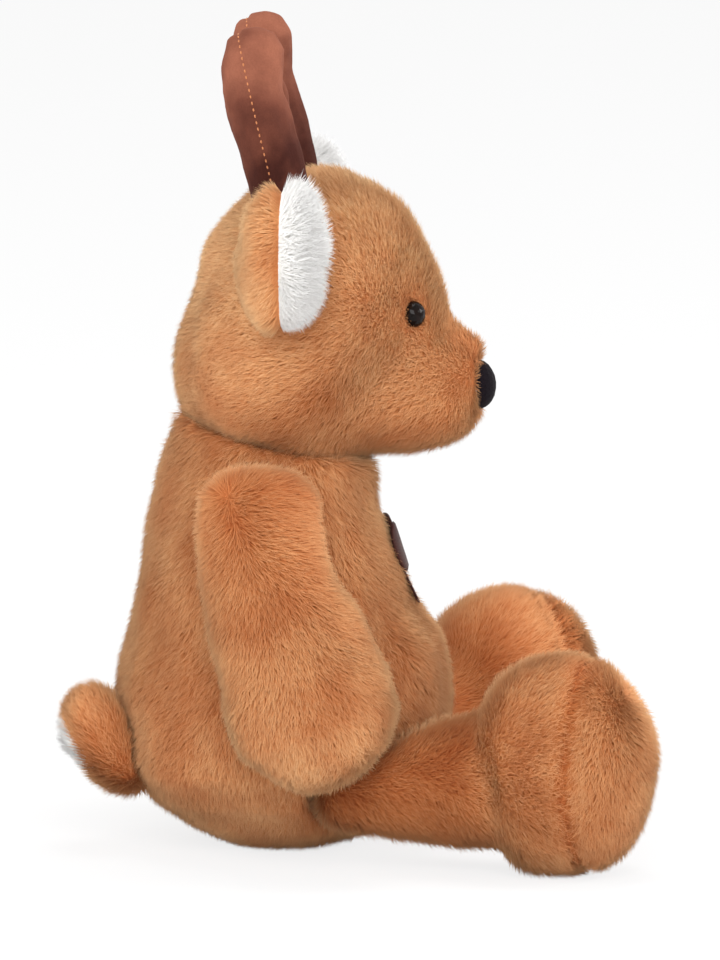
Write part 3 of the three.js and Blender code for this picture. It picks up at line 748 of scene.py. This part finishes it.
def pile_tree():
    """Hairs over a skin. The skin's comb, cover and pile say which way, where and how long, and its painted
    light and shade say how pale.
    """
    tree, keys, given = new_group("pile", (
        ("Skin", "Geometry"), ("Hair", "Object"), ("Finish", "Material"), ("Density", "Float"),
        ("Length", "Float"), ("Width", "Float"), ("Swirl Size", "Float"), ("Swirl", "Float"),
        ("Tuft Size", "Float"), ("Tuft", "Float"), ("Jitter", "Float"), ("Seed", "Int")), "Plush")
    density = number_step(tree, "MULTIPLY", given["Density"], point_value(tree, "cover"))
    spread = add_node(tree, "GeometryNodeDistributePointsOnFaces", Mesh=given["Skin"], Density=density,
                      Seed=given["Seed"])
    normal = spread.outputs["Normal"]
    place = add_node(tree, "GeometryNodeInputPosition").outputs[0]
    swirl = centred_noise(tree, place, given["Swirl Size"], given["Swirl"])
    tuft = centred_noise(tree, place, given["Tuft Size"], given["Tuft"])
    random_way = add_node(tree, "FunctionNodeRandomValue", {"data_type": "FLOAT_VECTOR"},
                          Min=(-1, -1, -1), Max=(1, 1, 1), Seed=given["Seed"]).outputs[0]
    jitter = vector_step(tree, "SCALE", random_way, scale=given["Jitter"])
    stray = vector_step(tree, "ADD", tuft, jitter)
    combed = vector_step(tree, "ADD", point_value(tree, "comb", "FLOAT_VECTOR"), swirl)
    lay = vector_step(tree, "ADD", combed, stray)
    upright = vector_step(tree, "ADD", normal, vector_step(tree, "SCALE", stray, scale=UPRIGHT_STRAY))
    uneven = random_number(tree, SHORTEST_HAIR, LONGEST_HAIR, given["Seed"])
    trimmed = number_step(tree, "MULTIPLY", given["Length"], point_value(tree, "pile"))
    length = number_step(tree, "MULTIPLY", trimmed, uneven)
    size = add_node(tree, "ShaderNodeCombineXYZ", X=length, Y=given["Width"], Z=length).outputs[0]
    hair = add_node(tree, "GeometryNodeObjectInfo", Object=given["Hair"]).outputs["Geometry"]
    hairs = add_node(tree, "GeometryNodeInstanceOnPoints", Points=spread.outputs["Points"], Instance=hair,
                     Rotation=turn_to(tree, upright, lay), Scale=size).outputs[0]
    # Each hair's tone: the skin's painted light and shade, with a random spread
    varied = random_number(tree, -HAIR_TONE_SPREAD, HAIR_TONE_SPREAD, given["Seed"])
    tone = number_step(tree, "ADD", point_value(tree, "nap"), varied)
    hairs = with_value(tree, hairs, "skin_normal", "FLOAT_VECTOR", normal)
    hairs = with_value(tree, hairs, "tone", "FLOAT", tone)
    real = add_node(tree, "GeometryNodeRealizeInstances", Geometry=hairs).outputs[0]
    joined = tree.nodes.new("GeometryNodeJoinGeometry")
    tree.links.new(given["Skin"], joined.inputs[0])
    tree.links.new(real, joined.inputs[0])
    end_group(tree, joined.outputs[0], given["Finish"])
    return tree, keys


def centred_noise(tree, place, size, strength):
    """A smooth random vector around zero, with features of the size given."""
    scale = number_step(tree, "DIVIDE", 1.0, size)
    cloud = add_node(tree, "ShaderNodeTexNoise", Vector=place, Scale=scale, Detail=1.0).outputs["Color"]
    return vector_step(tree, "SCALE", vector_step(tree, "SUBTRACT", cloud, (0.5, 0.5, 0.5)), scale=strength)


def shaded_like_skin(mesh):
    """Hairs take most of their shading direction from the skin under them, as soft fibres do."""
    places = coordinates(mesh)
    places[:, 2] = np.maximum(places[:, 2], FLOOR_CLEARANCE)
    mesh.vertices.foreach_set("co", places.ravel())
    own = vertex_normals(mesh)
    under = np.empty(len(mesh.vertices) * 3)
    mesh.attributes["skin_normal"].data.foreach_get("vector", under)
    under = under.reshape(-1, 3)
    on_hair = np.linalg.norm(under, axis=1) > 0.5
    blended = unit(under * SKIN_SHADING + own * HAIR_SHADING)
    mesh.shade_smooth()
    mesh.normals_split_custom_set_from_vertices(np.where(on_hair[:, None], blended, own))
    mesh.attributes.remove(mesh.attributes["skin_normal"])


def open_to_air(piece, others):
    """1 where a point of the piece is outside every other form, and 0 where it is inside one."""
    points = coordinates(piece.data)
    outside = np.ones(len(points))
    for other in others:
        mesh = other.data
        tree = BVHTree.FromPolygons([v.co for v in mesh.vertices], [p.vertices for p in mesh.polygons])
        corners = coordinates(mesh)
        low, high = corners.min(axis=0), corners.max(axis=0)
        for at in np.nonzero(np.all((points > low) & (points < high), axis=1))[0]:
            place = Vector(points[at])
            found, normal, _, _ = tree.find_nearest(place)
            if (place - found).dot(normal) < 0:
                outside[at] = 0
    return outside


def plush(skin, finish, comb, nap=1.0, *, seed, pile=1.0, cover=1.0, hair=None, length=HAIR_LENGTH,
          density=HAIRS_PER_SQUARE_METRE, swirl=1.1, tuft=0.7, jitter=0.4):
    """Grows the pile on a skin, which stays under it. Hairs stray in swirls, in tufts and singly."""
    mesh = skin.data
    ones = np.ones(len(mesh.vertices))
    write_attribute(mesh, "along", "FLOAT", ones * SKIN_TONE)
    write_attribute(mesh, "nap", "FLOAT", ones * nap)
    # Painted shade: the skin between the hairs is deeper than the hairs on it
    write_attribute(mesh, "tone", "FLOAT", ones * nap - UNDER_HAIR_PAINTED_SHADE)
    write_attribute(mesh, "comb", "FLOAT_VECTOR", tangent(comb, vertex_normals(mesh)))
    write_attribute(mesh, "pile", "FLOAT", ones * pile)
    write_attribute(mesh, "cover", "FLOAT", ones * cover)
    run_group(skin, PILE, PILE_KEYS, {
        "Hair": hair or COAT_HAIR, "Finish": MATERIALS[finish], "Density": density, "Length": length,
        "Width": HAIR_WIDTH, "Swirl Size": SWIRL_SIZE, "Swirl": swirl, "Tuft Size": TUFT_SIZE, "Tuft": tuft,
        "Jitter": jitter, "Seed": seed})
    shaded_like_skin(skin.data)
    for name in ("comb", "pile", "cover", "nap"):
        skin.data.attributes.remove(skin.data.attributes[name])


def away_from(points, place):
    """Ways that lead from a place to each point."""
    return unit(points - np.array(place))


def along_limb(points, way, outward):
    """Hairs lie along a limb and away from its middle line."""
    middle = points.mean(axis=0)
    way = np.array(way) / np.linalg.norm(way)
    across = points - middle
    across = across - way * (across @ way)[:, None]
    return unit(across) * outward + way


def parted(points, seam, combed):
    """Hairs near a seam lie away from it on both sides."""
    near_seam = seam.nearness(points)[:, None]
    return combed * (1 - near_seam) + seam.way * np.sign(seam.beyond(points))[:, None] * near_seam


def painted_crease_shade(points, seam):
    """Painted shade in a seam's crease: how much deeper the pile is painted there. It shows most at the
    crease's top.
    """
    return CREASE_PAINTED_SHADE * seam.nearness(points) * np.clip(points[:, 2] / CREASE_HEIGHT, 0, 1)


def painted_inner_shade(piece):
    """Painted shade: how much deeper the pile is painted on the side of a leg that faces the other leg."""
    inward = -np.sign(coordinates(piece.data)[:, 1]) * vertex_normals(piece.data)[:, 1]
    return INNER_PAINTED_SHADE * np.clip(inward, 0, 1)


COAT_HAIR = one_hair("coat_hair", HAIR_LEAN)
LINING_HAIR = one_hair("lining_hair", LINING_LEAN)
PILE, PILE_KEYS = pile_tree()


def dress(piece, nodes, body):
    """Puts a finished piece on its body in place of the CAD nodes that it stands for."""
    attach(piece, body)
    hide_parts(*nodes)


# Body, head, limbs, ears and tail

def stuffed_limbs(side):
    """An arm, and a leg with its sole and the seam of its foot, before any pile grows on them."""
    arm = stuffed_form(f"arm_plush_{side}", [f"arm_cover_{side}", f"arm_stuffing_{side}"])
    seam, leg, sole = sewn_pair((f"leg_plush_{side}", f"sole_plush_{side}"),
                                (f"leg_cover_{side}", f"foot_sole_{side}"), [f"leg_stuffing_{side}"],
                                SKIN_VOXEL, SKIN_INSET, FOOT_SEAM, SKIN_LUMPS, relax=3)
    settle(leg, chest=False)
    return arm, leg, sole, seam


def cover_body(body, cover):
    """Pile that hangs down the body."""
    comb = np.tile(BODY_COMB, (len(cover), 1))
    # The body's pile takes its own level of painted light
    plush(body, "tan_pile", comb, BODY_PAINTED_LIGHT, cover=cover, seed=3)
    dress(body, ["body_cover"], "torso")


def cover_head(head, cover):
    """Pile combed back from the nose, with painted light that makes it palest on the crown and painted shade
    round the eyes, and trimmed round the eyes and the nose.
    """
    nose = centre_of("nose")
    eyes = [centre_of(f"eye_{side}") for side in SIDES]
    points = coordinates(head.data)
    face = near(points, eyes, EYE_REACH)
    muzzle = near(points, [nose], MUZZLE_REACH)
    bare = (gap_to(points, [nose]) < NOSE_BARE) | (gap_to(points, eyes) < EYE_BARE)
    combed = away_from(points, nose) + FACE_COMB_DOWN
    to_crown = np.clip((points[:, 2] - CHEEK_HEIGHT) / (CROWN_HEIGHT - CHEEK_HEIGHT), 0, 1)
    # Painted light makes the pile paler towards the crown, and painted shade makes it deeper round the eyes
    nap = CHEEK_PAINTED_LIGHT + (CROWN_PAINTED_LIGHT - CHEEK_PAINTED_LIGHT) * to_crown - EYE_PAINTED_SHADE * face
    trim = 1 - EYE_TRIM * face - MUZZLE_TRIM * muzzle
    plush(head, "tan_pile", combed, nap, pile=trim, cover=cover * ~bare, seed=5)
    dress(head, ["head_cover"], "head")


def cover_arm(side, arm):
    """Pile that lies along the arm, painted deep at the shoulder as painted shade and pale at the hand as
    painted light.
    """
    points = coordinates(arm.data)
    low, high = points[:, 2].min(), points[:, 2].max()
    # Painted shade at the shoulder, fading to painted light at the hand
    nap = HAND_PAINTED_LIGHT + (SHOULDER_PAINTED_LIGHT - HAND_PAINTED_LIGHT) * (points[:, 2] - low) / (high - low)
    plush(arm, "tan_pile", along_limb(points, ARM_COMB, ARM_COMB_OUT), nap, seed=7)
    dress(arm, [f"arm_cover_{side}"], f"arm_{side}")


def cover_leg(side, leg, sole, seam, cover):
    """Pile that lies along the leg and parts at the seam of the foot. Painted shade makes it deepest at the
    hip, in the seam's crease and on the side that faces the other leg.
    """
    points = coordinates(leg.data)
    to_foot = np.clip((seam.beyond(points) + HIP_REACH) / (HIP_REACH - FOOT_REACH), 0, 1)
    # Painted shade: deepest at the hip, in the seam's crease and on the side facing the other leg
    nap = HIP_PAINTED_LIGHT + (FOOT_PAINTED_LIGHT - HIP_PAINTED_LIGHT) * to_foot - painted_crease_shade(points, seam) - painted_inner_shade(leg)
    combed = along_limb(points, seam.way, LEG_COMB_OUT)
    plush(leg, "tan_pile", parted(points, seam, combed), nap, cover=cover, seed=9)
    dress(leg, [f"leg_cover_{side}"], f"leg_{side}")
    points = coordinates(sole.data)
    # Painted shade on the sole: in the seam's crease and on the side facing the other leg
    nap = FOOT_PAINTED_LIGHT - painted_crease_shade(points, seam) - painted_inner_shade(sole)
    combed = away_from(points, points.mean(axis=0) + SOLE_COMB_RISE)
    plush(sole, "tan_pile", parted(points, seam, combed), nap, seed=11)
    dress(sole, [f"foot_sole_{side}"], f"leg_{side}")


def make_ear(side):
    """A tan back sewn to a white lining whose long hairs stand out of the ear."""
    seam, back, lining = sewn_pair((f"ear_back_plush_{side}", f"ear_lining_plush_{side}"),
                                   (f"ear_back_{side}", f"ear_lining_{side}"), [],
                                   SKIN_THIN_VOXEL, SKIN_THIN_INSET, EAR_SEAM, THIN_LUMPS)
    comb = np.tile(-seam.way + EAR_COMB_DOWN, (len(back.data.vertices), 1))
    # The ear's back takes the crown's level of painted light
    plush(back, "tan_pile", comb, CROWN_PAINTED_LIGHT, seed=13)
    dress(back, [f"ear_back_{side}"], f"ear_{side}")
    points = coordinates(lining.data)
    rim = np.exp(-seam.beyond(points) / LINING_RISE)
    foot = np.exp(-(points[:, 2] - points[:, 2].min()) / LINING_FOOT)
    trim = 1 - LINING_RIM_TRIM * rim - LINING_FOOT_TRIM * foot
    combed = away_from(points, seam.middle) * LINING_SPREAD + seam.way
    plush(lining, "white_pile", combed, pile=trim, seed=15, hair=LINING_HAIR, length=LINING_LENGTH,
          density=LINING_HAIRS, swirl=0.4, tuft=0.5, jitter=0.5)
    dress(lining, [f"ear_lining_{side}"], f"ear_{side}")


def make_tail():
    """A tan top sewn to a white underside, both combed away from the root."""
    _, top, underside = sewn_pair(("tail_top_plush", "tail_underside_plush"),
                                  ("tail_top", "tail_underside"), [],
                                  SKIN_THIN_VOXEL, SKIN_THIN_INSET, TAIL_SEAM, THIN_LUMPS, wrap=TAIL_WRAP)
    low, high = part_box("tail_top")
    root = (high[0], 0, low[2])
    # The tail's top takes its own level of painted light; the white underside is at full level
    for skin, node, finish, nap, seed in ((top, "tail_top", "tan_pile", TAIL_PAINTED_LIGHT, 17),
                                          (underside, "tail_underside", "white_pile", 1.0, 19)):
        plush(skin, finish, away_from(coordinates(skin.data), root), nap, seed=seed)
        dress(skin, [node], "tail")


def make_plush():
    """The covers. The main forms come first, because no pile grows where one form is inside another."""
    body = stuffed_form("body_plush", ["body_cover", "body_stuffing"])
    settle(body)
    head = stuffed_form("head_plush", ["head_cover", "head_stuffing"])
    limbs = [stuffed_limbs(side) for side in SIDES]
    legs = [leg for _, leg, _, _ in limbs]
    body_open = open_to_air(body, [head, *legs])
    head_open = open_to_air(head, [body])
    legs_open = [open_to_air(leg, [body]) for leg in legs]
    cover_body(body, body_open)
    cover_head(head, head_open)
    for side, (arm, leg, sole, seam), leg_open in zip(SIDES, limbs, legs_open):
        cover_arm(side, arm)
        cover_leg(side, leg, sole, seam, leg_open)
        make_ear(side)
    make_tail()


# Filling, antlers, bow and hard parts

def make_filling():
    """Stuffing inside the covers, and the bag of pellets in the seat."""
    soft = {"pellet_bag": ("torso", "pellet_cloth"), "body_stuffing": ("torso", "polyester_fill"),
            "head_stuffing": ("head", "polyester_fill")}
    for side in SIDES:
        for limb, body in (("arm", f"arm_{side}"), ("leg", f"leg_{side}"), ("antler", f"antler_{side}")):
            soft[f"{limb}_stuffing_{side}"] = (body, "polyester_fill")
    for node, (body, finish) in soft.items():
        piece = joined_copy(f"{node}_form", [node])
        if body == "torso" or node.startswith("leg"):
            settle(piece, chest=body == "torso")
        if node.startswith("antler"):
            draw_in(piece, ANTLER_FILL_INSET)
        piece.data.shade_smooth()
        take_finish(piece, finish)
        dress(piece, [node], body)


def stitch_mesh():
    """One stitch: a bead of thread with its ends drawn down."""
    work = bmesh.new()
    bmesh.ops.create_uvsphere(work, u_segments=8, v_segments=6, radius=0.5)
    bmesh.ops.rotate(work, verts=work.verts, matrix=Matrix.Rotation(math.pi / 2, 3, "Y"))
    bmesh.ops.scale(work, verts=work.verts, vec=(STITCH_LENGTH, STITCH_THICKNESS, STITCH_THICKNESS))
    for vertex in work.verts:
        vertex.co.z -= STITCH_THICKNESS * (2 * vertex.co.x / STITCH_LENGTH) ** 2 / 2
    mesh = bpy.data.meshes.new("stitch")
    work.to_mesh(mesh)
    work.free()
    mesh.shade_smooth()
    return new_object("stitch", mesh)


def stitch_tree():
    """Stitches at an even pitch along a seam line."""
    tree, keys, given = new_group("stitches", (
        ("Line", "Geometry"), ("Stitch", "Object"), ("Thread", "Material"), ("Pitch", "Float")), "Stitching")
    curve = add_node(tree, "GeometryNodeMeshToCurve", Mesh=given["Line"]).outputs[0]
    even = add_node(tree, "GeometryNodeResampleCurve", {"mode": "LENGTH"}, Curve=curve,
                    Length=given["Pitch"]).outputs[0]
    along = add_node(tree, "GeometryNodeInputTangent").outputs[0]
    out = point_value(tree, "out", "FLOAT_VECTOR")
    stitch = add_node(tree, "GeometryNodeObjectInfo", Object=given["Stitch"]).outputs["Geometry"]
    row = add_node(tree, "GeometryNodeInstanceOnPoints", Points=even, Instance=stitch,
                   Rotation=turn_to(tree, out, along)).outputs[0]
    real = add_node(tree, "GeometryNodeRealizeInstances", Geometry=row).outputs[0]
    end_group(tree, real, given["Thread"])
    return tree, keys


def seam_line(name, panel, lowest):
    """The open rim of a panel above a height, as a line that knows which way is out."""
    work = bmesh.new()
    work.from_mesh(panel.data)
    work.normal_update()
    rim = [edge for edge in work.edges if edge.is_boundary and min(v.co.z for v in edge.verts) > lowest]
    corners = sorted({vertex for edge in rim for vertex in edge.verts}, key=lambda v: v.index)
    order = {vertex: at for at, vertex in enumerate(corners)}
    mesh = bpy.data.meshes.new(name)
    mesh.from_pydata([v.co for v in corners], [tuple(order[v] for v in edge.verts) for edge in rim], [])
    write_attribute(mesh, "out", "FLOAT_VECTOR", np.array([v.normal for v in corners]))
    work.free()
    return new_object(name, mesh)


def make_antlers():
    """Suede panels of both antlers, drawn in along the seam, with gold topstitching on it."""
    stitch = stitch_mesh()
    tree, keys = stitch_tree()
    for side in SIDES:
        nodes = f"antler_back_{side}", f"antler_front_{side}"
        names = f"antler_back_suede_{side}", f"antler_front_suede_{side}"
        _, *panels = sewn_pair(names, nodes, [f"antler_stuffing_{side}"], SUEDE_VOXEL, 0, ANTLER_SEAM,
                               SUEDE_LUMPS, relax=6)
        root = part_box(nodes[0])[0][2] + STITCH_START
        line = seam_line(f"antler_stitches_{side}", panels[0], root)
        thread = MATERIALS["gold_thread"]
        run_group(line, tree, keys, {"Stitch": stitch, "Thread": thread, "Pitch": STITCH_PITCH})
        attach(line, f"antler_{side}")
        for panel, node in zip(panels, nodes):
            take_finish(panel, "brown_suede")
            dress(panel, [node], f"antler_{side}")
    bpy.data.objects.remove(stitch)


def make_bow():
    """Ribbon bow on the chest: a knot, two full loops, and two flat ribbon ends that hang from the knot."""
    def satin_piece(node):
        piece = joined_copy(f"{node}_satin", [node])
        settle(piece)
        piece.data.shade_smooth()
        take_finish(piece, "bow_satin")
        dress(piece, [node], "torso")
        return piece

    knot = satin_piece("bow_knot")
    for side in SIDES:
        satin_piece(f"bow_loop_{side}")
        ribbon = satin_piece(f"bow_ribbon_{side}")


def finish_hard_parts():
    """Eyes, nose and washers keep their CAD shape and take their own finishes."""
    for node, finish in (("nose", "nose_flock"), ("nose_washer", "washer_plastic"),
                         *[(f"eye_{side}", "eye_plastic") for side in SIDES],
                         *[(f"eye_washer_{side}", "washer_plastic") for side in SIDES]):
        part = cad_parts[node]
        for slot in part.material_slots:
            slot.material = MATERIALS[finish]


# Stage

def make_floor():
    """Pale floor, which glows a little for the camera alone, so that only soft shadows show on it."""
    corners = [(-FLOOR_REACH, -FLOOR_REACH, 0), (FLOOR_REACH, -FLOOR_REACH, 0),
               (FLOOR_REACH, FLOOR_REACH, 0), (-FLOOR_REACH, FLOOR_REACH, 0)]
    mesh = bpy.data.meshes.new("floor")
    mesh.from_pydata(corners, [], [(0, 1, 2, 3)])
    floor = new_object("floor", mesh)
    material = bpy.data.materials.new("pale_floor")
    material.use_nodes = True
    tree = material.node_tree
    shader = tree.nodes["Principled BSDF"]
    shader.inputs["Base Color"].default_value = linear(FLOOR_PALE)
    shader.inputs["Roughness"].default_value = 0.9
    shader.inputs["Specular IOR Level"].default_value = 0.1
    glow = add_node(tree, "ShaderNodeEmission", Color=(1, 1, 1, 1), Strength=1.0)
    path = tree.nodes.new("ShaderNodeLightPath")
    seen = number_step(tree, "MULTIPLY", path.outputs["Is Camera Ray"], FLOOR_GLOW)
    blend = tree.nodes.new("ShaderNodeMixShader")
    tree.links.new(seen, blend.inputs[0])
    tree.links.new(shader.outputs[0], blend.inputs[1])
    tree.links.new(glow.outputs[0], blend.inputs[2])
    tree.links.new(blend.outputs[0], tree.nodes["Material Output"].inputs[0])
    mesh.materials.append(material)


def make_room():
    """White room: full bright where it is seen, straight or in a reflection, and dimmer as a light."""
    world = bpy.data.worlds.new("studio")
    bpy.context.scene.world = world
    world.use_nodes = True
    tree = world.node_tree
    background = tree.nodes["Background"]
    background.inputs["Color"].default_value = (1, 1, 1, 1)
    path = tree.nodes.new("ShaderNodeLightPath")
    seen = number_step(tree, "MAXIMUM", path.outputs["Is Camera Ray"], path.outputs["Is Glossy Ray"])
    seen = number_step(tree, "MAXIMUM", seen, path.outputs["Is Transmission Ray"])
    level = add_node(tree, "ShaderNodeMapRange", Value=seen, To_Min=ROOM_LIGHT, To_Max=1.0)
    tree.links.new(level.outputs[0], background.inputs["Strength"])


def make_lamps():
    """Round soft lamps that face the deer."""
    for name, place, width, power in LAMPS:
        lamp = bpy.data.lights.new(name, "AREA")
        lamp.shape = "DISK"
        lamp.size = width
        lamp.energy = power
        holder = new_object(name, lamp)
        holder.location = place
        holder.rotation_euler = (CAMERA_TARGET - Vector(place)).to_track_quat("-Z", "Y").to_euler()


def make_camera():
    """The camera, far off with a long lens. Its picture shows the colours as they are."""
    lens = bpy.data.cameras.new("camera")
    lens.lens = CAMERA_LENS
    camera = new_object("camera", lens)
    level = math.cos(CAMERA_ELEVATION)
    ahead = Vector((-math.sin(CAMERA_AZIMUTH) * level, math.cos(CAMERA_AZIMUTH) * level,
                    -math.sin(CAMERA_ELEVATION)))
    camera.location = CAMERA_TARGET - ahead * CAMERA_DISTANCE
    camera.rotation_euler = ahead.to_track_quat("-Z", "Y").to_euler()
    bpy.context.scene.camera = camera
    bpy.context.scene.view_settings.view_transform = "Standard"


make_floor()
make_room()
make_lamps()
make_camera()
make_plush()
make_filling()
make_antlers()
make_bow()
finish_hard_parts()
for hair in (COAT_HAIR, LINING_HAIR):
    bpy.data.objects.remove(hair)
